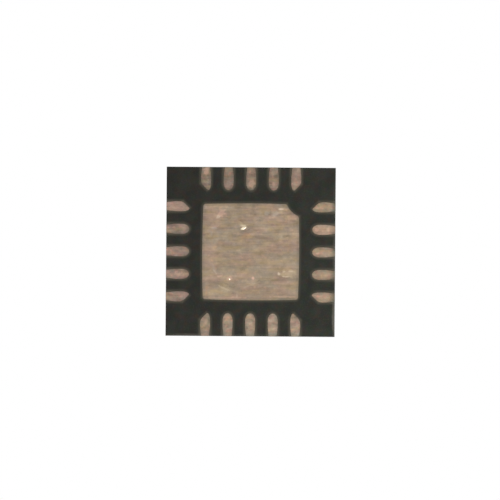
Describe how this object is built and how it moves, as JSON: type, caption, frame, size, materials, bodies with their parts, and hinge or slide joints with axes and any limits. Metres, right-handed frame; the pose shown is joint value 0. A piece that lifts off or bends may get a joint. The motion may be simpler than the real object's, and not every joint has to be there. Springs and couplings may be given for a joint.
{
  "type": "integrated circuit",
  "caption": "Flat square no-lead chip package: dark moulding, round-ended lands along all sides, notched exposed pad, bonded die inside.",
  "frame": {"origin": "centre of the moulded square on the seating plane, which the lands and the exposed pad share", "axes": "+Z from the lands to the marked face; seen from above with +X right and +Y up, the pin 1 corner is the -X, +Y one and leads count anticlockwise"},
  "size_m": [0.003, 0.003, 0.0008],
  "materials": {
    "mould_compound": "matte",
    "plated_copper": "satin",
    "adhesive": "matte",
    "silicon": "polished",
    "bond_wire": "polished"
  },
  "bodies": {
    "root": {"mould_body": "mould_compound", "die_paddle": "plated_copper", "die_attach": "adhesive", "die": "silicon", "lead_01": "plated_copper", "lead_02": "plated_copper", "lead_03": "plated_copper", "lead_04": "plated_copper", "lead_05": "plated_copper", "lead_06": "plated_copper", "lead_07": "plated_copper", "lead_08": "plated_copper", "lead_09": "plated_copper", "lead_10": "plated_copper", "lead_11": "plated_copper", "lead_12": "plated_copper", "lead_13": "plated_copper", "lead_14": "plated_copper", "lead_15": "plated_copper", "lead_16": "plated_copper", "lead_17": "plated_copper", "lead_18": "plated_copper", "lead_19": "plated_copper", "lead_20": "plated_copper", "bond_wire_01": "bond_wire", "bond_wire_02": "bond_wire", "bond_wire_03": "bond_wire", "bond_wire_04": "bond_wire", "bond_wire_05": "bond_wire", "bond_wire_06": "bond_wire", "bond_wire_07": "bond_wire", "bond_wire_08": "bond_wire", "bond_wire_09": "bond_wire", "bond_wire_10": "bond_wire", "bond_wire_11": "bond_wire", "bond_wire_12": "bond_wire", "bond_wire_13": "bond_wire", "bond_wire_14": "bond_wire", "bond_wire_15": "bond_wire", "bond_wire_16": "bond_wire", "bond_wire_17": "bond_wire", "bond_wire_18": "bond_wire", "bond_wire_19": "bond_wire", "bond_wire_20": "bond_wire"}
  },
  "joints": []
}
